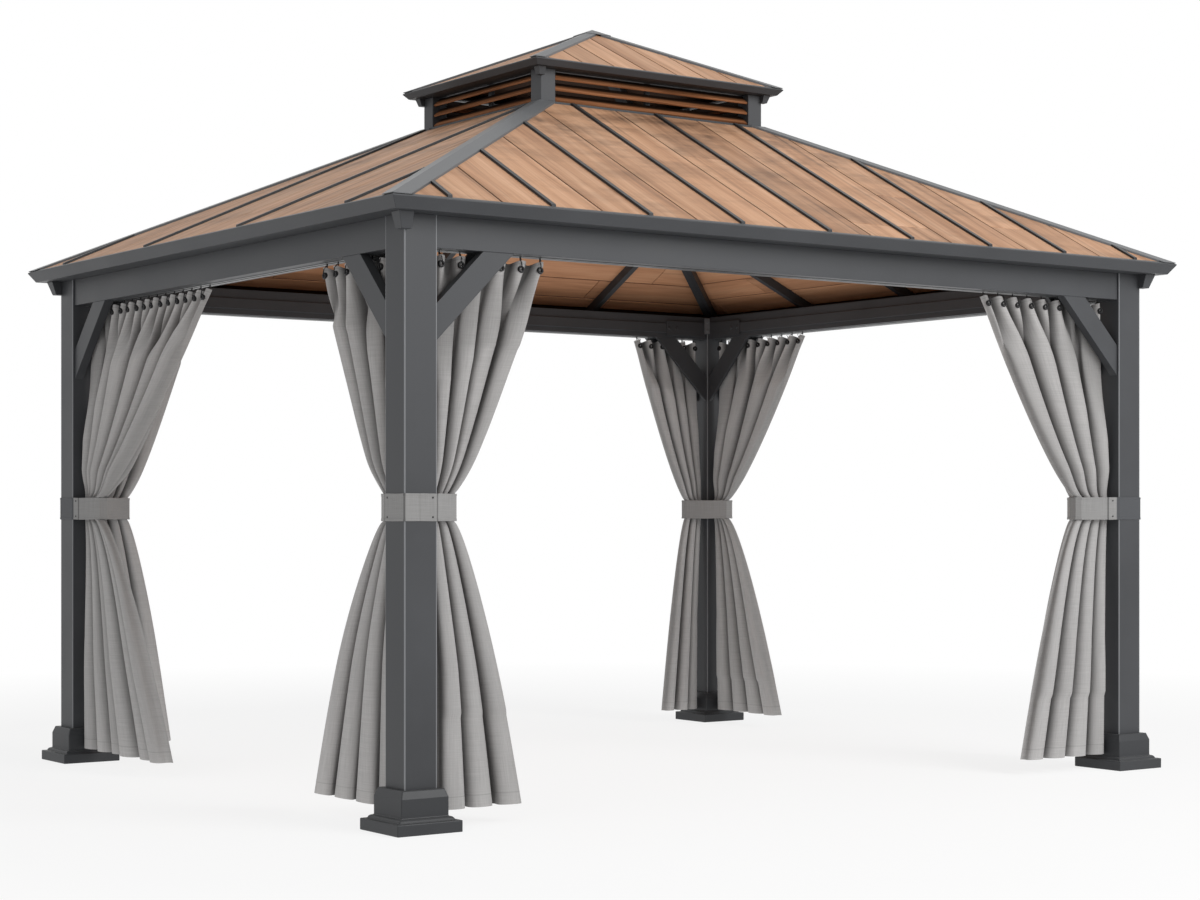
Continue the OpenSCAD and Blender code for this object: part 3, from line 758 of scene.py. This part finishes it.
# Drop of the header between two hooks, and the share of the way up from which it shows
SCALLOP = 0.012
SCALLOP_FROM = 0.9

# Hooks and eyelets; a wire's bends are depths and heights from an eyelet, then rises over the cloth
HOOK_PITCH = 0.075
HOOK_MARGIN = 0.016
HOOK_WIRE_R = 0.0018
HOOK_BENDS = ((0.004, -0.002), (-0.005, -0.001), (-0.0065, 0.008), (-0.004, 0.022), (0.004, 0.032))
HOOK_RISES = (0.004, 0.008, 0.011)
EYELET_DROP = 0.030
EYELET_R = 0.0085
EYELET_BAR = 0.0036
EYELET_FACE = 0.0022

# Mesh of a curtain
COLUMNS = 208
ROWS_ABOVE = 52
ROWS_TIE = 5
ROWS_BELOW = 52
CURTAIN_SEED = 71

# Curtains on these sides have their broad folds on the inside
INWARD = ("curtain_back", "curtain_right")

# At these posts the strap is closed by tabs
TABBED = ("front_right", "back_left")

# Name, post, true if it runs along X, span from the post at the top and at the hem
CURTAINS = (
    ("curtain_front_left", "front_left", True, 0.458, 0.363),
    ("curtain_left_front", "front_left", False, 0.528, 0.590),
    ("curtain_front_right", "front_right", True, 0.693, 0.473),
    ("curtain_right_front", "front_right", False, 0.450, 0.430),
    ("curtain_left_back", "back_left", False, 1.136, 0.792),
    ("curtain_back_left", "back_left", True, 0.450, 0.340),
    ("curtain_back_right", "back_right", True, 0.407, 0.240),
    ("curtain_right_back", "back_right", False, 0.674, 0.500),
)


def to_frame(post, along_x, run, depth, z):
    """From a place along a side and a depth, both from the outer faces at a post, to the frame."""
    sx, sy = CORNERS[post]
    x, y = (run, depth) if along_x else (depth, run)
    return Vector((sx * (HALF_X - x), sy * (HALF_Y - y), z))


def between(a, b, share):
    return a + (b - a) * share


def smooth(share):
    share = min(1.0, max(0.0, share))
    return share * share * (3 - 2 * share)


def with_valleys(ridges, rng=None):
    """Ridges (-1), a valley (1) between every two, and both edges; uneven heights with an rng."""
    places = [(u, -1.0) for u in ridges] + [((a + b) / 2, 1.0) for a, b in zip(ridges, ridges[1:])]
    if rng:
        places = [(u, height * rng.uniform(LOWEST_FOLD, HIGHEST_FOLD)) for u, height in places]
    return sorted([(0.0, EDGE_HEIGHT), (1.0, EDGE_HEIGHT)] + places)


def loose_folds(rng, count):
    """Broad folds at uneven places across a cloth."""
    step = 1 / count
    ridges = [(i + 0.5 + rng.uniform(-FOLD_STRAY, FOLD_STRAY)) * step for i in range(count)]
    return with_valleys(ridges, rng)


def fold_line(extremes):
    """Height of the folds and how far they lap sideways, for every column of a cloth."""
    line = []
    j = 0
    for i in range(COLUMNS + 1):
        u = i / COLUMNS
        while j < len(extremes) - 2 and u > extremes[j + 1][0]:
            j += 1
        (u0, h0), (u1, h1) = extremes[j], extremes[j + 1]
        share = min(1.0, (u - u0) / max(u1 - u0, 1e-6))
        edge = smooth(u / EDGE_EASE) * smooth((1 - u) / EDGE_EASE)
        lap = OVERHANG * math.sin(2 * math.pi * share)
        lap += math.copysign(VALLEY_PINCH, h1 - h0) * math.sin(math.pi * share)
        height = between(h0, h1, (1 - math.cos(math.pi * share)) / 2)
        line.append((height, lap * (u1 - u0) * edge))
    return line


def gathered_share(up):
    """Share of the header's small folds at a share of the way up from the tie."""
    return smooth((up - GATHER_FROM) / (1 - GATHER_FROM))


def brace_room(run, z):
    """Room for the folds beside the braces at a corner, where the cloth passes between the two."""
    clear = run - POST + BRACE_FOOT - z
    return between(HEAD_ROOM, HEM_ROOM, smooth((clear - BRACE_CLEAR) / BRACE_EASE))


class Drape:
    """The folds of one curtain: where its section lies at each height.

    The header is gathered evenly, with a ridge at each hook. Further down these small folds die
    away in a few broad ones that lap over each other. Below the tie the folds are broad again.
    """

    def __init__(self, name, post, top_end, hem_end, seed):
        rng = random.Random(seed)
        self.sense = -1 if name.startswith(INWARD) else 1
        self.bundle_end = BUNDLE_START + BUNDLE_W[post]
        self.top_end = top_end
        self.hem_end = hem_end
        first = CURTAIN_START + HOOK_MARGIN
        last = top_end - HOOK_MARGIN
        steps = round((last - first) / HOOK_PITCH)
        self.hooks = [between(first, last, i / steps) for i in range(steps + 1)]
        ridges = [(run - CURTAIN_START) / (top_end - CURTAIN_START) for run in self.hooks]
        belly_count = max(BELLY_LEAST, round((top_end - POST) / BELLY_FOLD))
        hem_count = max(HEM_LEAST, round((hem_end - POST) / HEM_FOLD))
        self.width = FULLNESS * (top_end - CURTAIN_START)
        self.header = fold_line(with_valleys(ridges))
        self.belly = fold_line(loose_folds(rng, belly_count))
        self.fall = fold_line(loose_folds(rng, hem_count))

    def levels(self, z):
        """Share of the way up from the tie, start and end of the cloth, room for its folds."""
        if z >= TIE_HIGH:
            up = (z - TIE_HIGH) / (CURTAIN_TOP - TIE_HIGH)
            drawn = up ** DRAW_CURVE
            start = between(BUNDLE_START, CURTAIN_START, drawn)
            end = between(self.bundle_end, self.top_end, drawn)
            room = between(BELLY_ROOM, HEAD_ROOM, gathered_share(up))
            return up, start, end, between(BUNDLE_ROOM, room, smooth(up / BELLY_RISE))
        down = max(0.0, (TIE_LOW - z) / (TIE_LOW - CURTAIN_FOOT))
        start = between(BUNDLE_START, CURTAIN_START, min(1.0, 2 * down))
        end = between(self.bundle_end, self.hem_end, down ** FALL_CURVE)
        return 0.0, start, end, between(BUNDLE_ROOM, HEM_ROOM, smooth(down / HEM_FALL))

    def section(self, z, reach):
        """Points (place along the side, depth) across the cloth at a height."""
        up, start, end, _ = self.levels(z)
        gathered = gathered_share(up)
        fallen = smooth((TIE_HIGH - z) / (TIE_HIGH - TIE_LOW))
        points = []
        for i, (head, belly, fall) in enumerate(zip(self.header, self.belly, self.fall)):
            fold = between(between(belly[0], fall[0], fallen), head[0], gathered)
            lap = between(between(belly[1], fall[1], fallen), HEADER_LAP * head[1], gathered)
            run = start + (end - start) * min(1.0, max(0.0, i / COLUMNS + lap))
            height = min(reach, brace_room(run, z) / HIGHEST_FOLD)
            points.append((run, SLOT_D + self.sense * height * fold))
        return points

    def length_at(self, z, reach):
        points = self.section(z, reach)
        return sum(math.dist(a, b) for a, b in zip(points, points[1:]))

    def reach_at(self, z):
        """Fold height that gives the section the cloth's width, eased into the room there is."""
        room = self.levels(z)[3] / HIGHEST_FOLD
        low, high = 0.0, 4 * room
        for _ in range(16):
            middle = (low + high) / 2
            if self.length_at(z, middle) < self.width:
                low = middle
            else:
                high = middle
        return (room ** -EASE_POWER + high ** -EASE_POWER) ** (-1 / EASE_POWER)

    def sag(self, z, column):
        """Drop of the header's edge between two hooks."""
        shown = smooth((self.levels(z)[0] - SCALLOP_FROM) / (1 - SCALLOP_FROM))
        return SCALLOP * shown * (1 + self.header[column][0]) / 2


def curtain_heights():
    """Rows from the top to the hem, closer together beside the tie."""
    above = [between(CURTAIN_TOP, TIE_HIGH, (i / ROWS_ABOVE) ** 0.85) for i in range(ROWS_ABOVE)]
    tied = [between(TIE_HIGH, TIE_LOW, i / ROWS_TIE) for i in range(ROWS_TIE)]
    below = [between(TIE_LOW, CURTAIN_FOOT, (i / ROWS_BELOW) ** 1.2) for i in range(ROWS_BELOW + 1)]
    return above + tied + below


def curtain(name, post, along_x, top_span, hem_span, seed):
    """One open sheet of cloth, faced outwards, with its flat places and the depth of its folds, for
    painted shade in their hollows.
    """
    drape = Drape(name, post, POST + top_span, POST + hem_span, seed)
    bm = bmesh.new()
    flat = bm.verts.layers.float_vector.new("cloth")
    fold = bm.verts.layers.float.new("fold")
    rows = []
    for z in curtain_heights():
        row = []
        reach = drape.reach_at(z)
        for i, (run, depth) in enumerate(drape.section(z, reach)):
            vert = bm.verts.new(to_frame(post, along_x, run, depth, z - drape.sag(z, i)))
            vert[flat] = (drape.width * i / COLUMNS, z, 0.0)
            # share of painted shade: depth in the fold, eased towards an even share at the free
            # edge
            hollow = (1 + (depth - SLOT_D) / (HIGHEST_FOLD * reach)) / 2
            from_edge = smooth((1 - i / COLUMNS) / OPEN_EDGE)
            vert[fold] = between(0.5 - OPEN_HOLLOW * drape.sense, hollow, from_edge)
            row.append(vert)
        rows.append(row)
    faced_out = math.prod(CORNERS[post]) * (1 if along_x else -1) < 0
    for upper, lower in zip(rows, rows[1:]):
        for i in range(COLUMNS):
            corners = (upper[i], upper[i + 1], lower[i + 1], lower[i])
            bm.faces.new(corners if faced_out else corners[::-1])
    made = piece(name + "_cloth", bm, "curtain_fabric", rounded=True, solid=False)
    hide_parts(name)
    return made, drape


def ring(bm, centre, axis, major, minor, around=20, across=8):
    """A torus ring with a given axis."""
    side = axis.orthogonal().normalized()
    other = axis.cross(side)
    loops = []
    for i in range(around):
        turn = 2 * math.pi * i / around
        out = side * math.cos(turn) + other * math.sin(turn)
        loops.append(circle(bm, centre + out * major, out, axis, minor, across))
    wheel(bm, loops)


def tube(bm, points, radius, sides=8):
    """A round wire through points, closed at both ends."""
    loops = []
    for i, p in enumerate(points):
        ahead = points[min(i + 1, len(points) - 1)] - points[max(i - 1, 0)]
        ahead.normalize()
        side = ahead.orthogonal().normalized()
        loops.append(circle(bm, p, side, ahead.cross(side), radius, sides))
    skin(bm, loops)


def stud(bm, at, axis, radius, height, sides=12):
    """A low round head that stands on a face."""
    side = axis.orthogonal().normalized()
    other = axis.cross(side)
    profile = ((1.0, -0.3), (1.0, 0.5), (0.75, 0.9), (0.3, 1.0))
    skin(bm, [circle(bm, at + axis * (height * rise), side, other, radius * share, sides)
              for share, rise in profile])


def hook_wire(run, cloth_d, z, hook_run):
    """Places (along the side, depth, height) of a wire from an eyelet up to its runner."""
    depths = (between(cloth_d, SLOT_D, 0.6), SLOT_D, SLOT_D)
    return ([(run, cloth_d + d, z + h) for d, h in HOOK_BENDS]
            + [(hook_run, d, CURTAIN_TOP + rise) for d, rise in zip(depths, HOOK_RISES)])


def eyelets(name, post, along_x, drape):
    """Two-faced eyelets on the ridges of the header, each with a wire hook up to its runner."""
    bm = bmesh.new()
    z = CURTAIN_TOP - EYELET_DROP
    header = drape.section(z, drape.reach_at(z))
    out = to_frame(post, along_x, 0, -1, 0) - to_frame(post, along_x, 0, 0, 0)
    for hook_run in drape.hooks:
        share = (hook_run - CURTAIN_START) / (drape.top_end - CURTAIN_START)
        run, cloth_d = header[round(share * COLUMNS)]
        for face in (-EYELET_FACE, EYELET_FACE):
            ring(bm, to_frame(post, along_x, run, cloth_d + face, z), out, EYELET_R, EYELET_BAR)
        wire = hook_wire(run, cloth_d, z, hook_run)
        tube(bm, [to_frame(post, along_x, *place) for place in wire], HOOK_WIRE_R)
    return piece(name + "_eyelets", bm, "hook_metal", rounded=True)


for index, (name, post, along_x, top_span, hem_span) in enumerate(CURTAINS):
    sheet, drape = curtain(name, post, along_x, top_span, hem_span, CURTAIN_SEED + index)
    rings = eyelets(name, post, along_x, drape)


# Tie straps


# Strap: thickness, more at its turned edges, and how it clears what it holds
STRAP_T = 0.0024
STRAP_EDGE = 0.0009
STRAP_HEM = 0.007
STRAP_TURN = 0.001
STRAP_CLEAR = 0.0004
STRAP_OVER = 0.003
STRAP_WAVER = 0.001
STRAP_SEED = 91

# A bundle's faces, and the cut of its corners
BUNDLE_NEAR = SLOT_D - 0.030
BUNDLE_FAR = SLOT_D + 0.030
BUNDLE_CUT = 0.015

RIVET_R = 0.0032
RIVET_H = 0.0016
RIVET_IN = 0.013
RIVET_SHARE = 0.86

# Shares of an edge of the hull: a tab and the slot beside it
TAB_START = 0.08
TAB_END = 0.27
SLOT_END = 0.33
MARK_W = 0.02
SLOT_DARK = 1.8
# Darkness of the painted shade where the strap creases round a post's corners
CORNER_CREASE_SHADE = 1.6

# Marks along an edge of the hull: share of the edge, share of paint, share of a dark line
PLAIN_MARKS = ((0.03, 0, 0), (0.5, 0, 0), (0.97, 0, 0))
# On a post's outer face, the dark line halfway along is the painted shade of a wrinkle
FACE_MARKS = ((0.03, 0, 0), (0.44, 0, 0), (0.46, 0, 0.5), (0.49, 0, 0), (0.97, 0, 0))
TAB_MARKS = ((TAB_START - MARK_W, 1, 0), (TAB_START, 0, 0), (TAB_END, 0, 0),
             (TAB_END + MARK_W, 0, SLOT_DARK), (SLOT_END - MARK_W, 0, SLOT_DARK), (SLOT_END, 0, 0))


def strap_hull(post):
    """Corners round a post and its two bundles, as places from the post's outer faces."""
    end = BUNDLE_START + BUNDLE_W[post] + STRAP_OVER
    half = [(0.0, 0.0), (POST, 0.0),
            (end - BUNDLE_CUT, BUNDLE_NEAR), (end, BUNDLE_NEAR + BUNDLE_CUT),
            (end, BUNDLE_FAR - BUNDLE_CUT), (end - BUNDLE_CUT, BUNDLE_FAR)]
    return [Vector(p) for p in half + [(b, a) for a, b in half[:0:-1]]]


def strap_marks(edge, last, tabbed):
    """Places along an edge of the hull, each with its share of paint and of a dark line."""
    if not tabbed:
        return FACE_MARKS if edge == 0 else PLAIN_MARKS
    if edge == 1:
        return TAB_MARKS
    if edge == last - 1:
        return [(1 - share, painted, line) for share, painted, line in TAB_MARKS[::-1]]
    painted = 1 if edge in (0, last) else 0
    return (0.33, painted, 0), (0.67, painted, 0)


def strap_line(post, out):
    """Points round the hull at a distance from it, with their shares of paint and dark line."""
    line = []
    hull = strap_hull(post)
    tabbed = post in TABBED
    for i, corner in enumerate(hull):
        before = corner - hull[i - 1]
        after = hull[(i + 1) % len(hull)] - corner
        first = math.atan2(-before.x, before.y)
        turn = (math.atan2(-after.x, after.y) - first) % (2 * math.pi)
        on_post = 1 if min(corner) < 1e-6 else 0
        # at corners on the post: paint on tabbed posts, else painted crease shade
        marks = (on_post, 0) if tabbed else (0, CORNER_CREASE_SHADE * on_post)
        for j in range(5):
            angle = first + turn * j / 4
            line.append((corner + out * Vector((math.cos(angle), math.sin(angle))), *marks))
        side = out * Vector((math.cos(first + turn), math.sin(first + turn)))
        for share, painted, dark in strap_marks(i, len(hull) - 1, tabbed):
            line.append((corner + after * share + side, painted, dark))
    return line


def strap_rows():
    """Height and distance from the hull of each row, from the low inner edge to the high one."""
    face = STRAP_CLEAR + STRAP_T
    edge = face + STRAP_EDGE
    return [(TIE_LOW, STRAP_CLEAR), (TIE_LOW, face), (TIE_LOW + STRAP_TURN, edge),
            (TIE_LOW + STRAP_HEM, edge), (TIE_LOW + STRAP_HEM + STRAP_TURN, face),
            (between(TIE_LOW, TIE_HIGH, 0.3), face), (between(TIE_LOW, TIE_HIGH, 0.7), face),
            (TIE_HIGH - STRAP_HEM - STRAP_TURN, face), (TIE_HIGH - STRAP_HEM, edge),
            (TIE_HIGH - STRAP_TURN, edge), (TIE_HIGH, face), (TIE_HIGH, STRAP_CLEAR)]


def strap(post, seed):
    """A strap with turned edges, drawn tight round a post and its two bundles, and its length."""
    rng = random.Random(seed)
    bm = bmesh.new()
    flat = bm.verts.layers.float_vector.new("cloth")
    crease_shade_and_lines = bm.verts.layers.float.new("crease_shade_and_lines")
    paint_band = bm.verts.layers.float.new("band")
    waver = [rng.uniform(-STRAP_WAVER, STRAP_WAVER) for _ in strap_line(post, STRAP_CLEAR)]
    loops = []
    for z, out in strap_rows():
        loop = []
        length = 0.0
        line = strap_line(post, out)
        for i, (p, painted, dark) in enumerate(line):
            length += (p - line[i - 1][0]).length if i else 0.0
            rise = waver[i] if out > STRAP_CLEAR else 0.0
            vert = bm.verts.new(to_frame(post, True, p.x, p.y, z + rise))
            vert[flat] = (length, z, 0.0)
            vert[crease_shade_and_lines] = dark
            vert[paint_band] = painted
            loop.append(vert)
        loops.append(loop)
    wheel(bm, loops)
    made = piece("tie_" + post, bm, "strap_fabric")
    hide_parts("curtain_ties")
    return made, length


def strap_rivets(post):
    """Two rivets on both sides of a post, on the strap's tab or on its face."""
    bm = bmesh.new()
    tabbed = post in TABBED
    start, end = strap_hull(post)[1:3] if tabbed else strap_hull(post)[:2]
    share = between(TAB_START, TAB_END, 0.5) if tabbed else RIVET_SHARE
    out = Vector((end.y - start.y, start.x - end.x)).normalized()
    at = start + (end - start) * share + out * (STRAP_CLEAR + STRAP_T)
    for along_x in (True, False):
        axis = to_frame(post, along_x, out.x, out.y, 0) - to_frame(post, along_x, 0, 0, 0)
        for z in (TIE_LOW + RIVET_IN, TIE_HIGH - RIVET_IN):
            stud(bm, to_frame(post, along_x, at.x, at.y, z), axis, RIVET_R, RIVET_H)
    return piece("tie_rivets_" + post, bm, "hook_metal", rounded=True)


for index, post in enumerate(CORNERS):
    made, length = strap(post, STRAP_SEED + index)
    strap_rivets(post)


# Floor, light and camera


FLOOR_HALF = 40.0
FLOOR_WHITE = (0.92, 0.92, 0.92, 1)
WHITE = (1, 1, 1, 1)

# Distances from the middle over which the shadow fades out
FADE_FROM = 3.2
FADE_TO = 6.5

# How much of the shadow the floor keeps, and how white it is to light that bounces off it
SHADOW_SHARE = 0.18
BOUNCE_SHARE = 0.72


def pale_floor():
    """A pale floor that keeps the shadow round the object and fades to plain white further out."""
    made, tree, shader = new_material("pale_floor")
    feed(tree, shader, Base_Color=FLOOR_WHITE, Roughness=0.9, Specular_IOR_Level=0.1)
    away = add(tree, "VectorMath", {0: geometry(tree, "Position")}, operation="LENGTH")
    fade = remap(tree, away.outputs["Value"], FADE_FROM, FADE_TO, 1 - SHADOW_SHARE, 1.0)
    seen = math_node(tree, "MAXIMUM", directly_seen(tree), BOUNCE_SHARE)
    white = add(tree, "Emission", {"Color": WHITE, "Strength": 1.0}).outputs[0]
    sockets = {0: math_node(tree, "MULTIPLY", fade, seen), 1: shader.outputs[0], 2: white}
    mixed = add(tree, "MixShader", sockets).outputs[0]
    tree.links.new(mixed, tree.nodes["Material Output"].inputs["Surface"])
    return made


floor_mesh = bpy.data.meshes.new("floor")
floor_corners = [(FLOOR_HALF * x, FLOOR_HALF * y, 0)
                 for x, y in ((-1, -1), (1, -1), (1, 1), (-1, 1))]
floor_mesh.from_pydata(floor_corners, [], [(0, 1, 2, 3)])
floor_mesh.materials.append(pale_floor())
floor = bpy.data.objects.new("floor", floor_mesh)
bpy.context.scene.collection.objects.link(floor)

HORIZON_STRENGTH = 0.62
ZENITH_STRENGTH = 0.43
ZENITH_FROM = 0.6
world = bpy.data.worlds.new("studio")
bpy.context.scene.world = world
world.use_nodes = True
sky = world.node_tree
height = axes_of(sky, add(sky, "TexCoord").outputs["Generated"])[2]
strength = remap(sky, height, 0.0, ZENITH_FROM, HORIZON_STRENGTH, ZENITH_STRENGTH)
feed(sky, sky.nodes["Background"], Color=WHITE,
     Strength=math_node(sky, "MAXIMUM", directly_seen(sky), strength))


def area_light(name, place, target, size, power):
    light = bpy.data.lights.new(name, "AREA")
    light.size = size
    light.energy = power
    made = bpy.data.objects.new(name, light)
    made.location = place
    made.rotation_euler = (Vector(target) - Vector(place)).to_track_quat("-Z", "Y").to_euler()
    made.visible_camera = False
    bpy.context.scene.collection.objects.link(made)


area_light("key", place=(2.5, -8.0, 5.0), target=(0, 0, 1.4), size=5.0, power=500)
area_light("fill", place=(-8.0, -2.0, 4.0), target=(0, 0, 1.2), size=5.0, power=50)

# The camera as fitted to the photo, level, with its lens shifted
CAMERA_PLACE = (-5.495, -7.807, 1.0136)
CAMERA_AZIMUTH = 35.334
FOCAL_PX = 2355.77
HORIZON_PX = 513.15
PHOTO_W = 1200
PHOTO_H = 900
lens = bpy.data.cameras.new("camera")
lens.sensor_width = 36.0
lens.sensor_fit = "HORIZONTAL"
lens.lens = lens.sensor_width * FOCAL_PX / PHOTO_W
lens.shift_y = (HORIZON_PX - PHOTO_H / 2) / PHOTO_W
lens.clip_end = 200.0
camera = bpy.data.objects.new("camera", lens)
camera.location = CAMERA_PLACE
camera.rotation_euler = (math.radians(90), 0, math.radians(-CAMERA_AZIMUTH))
bpy.context.scene.collection.objects.link(camera)
bpy.context.scene.camera = camera
bpy.context.scene.view_settings.view_transform = "Standard"
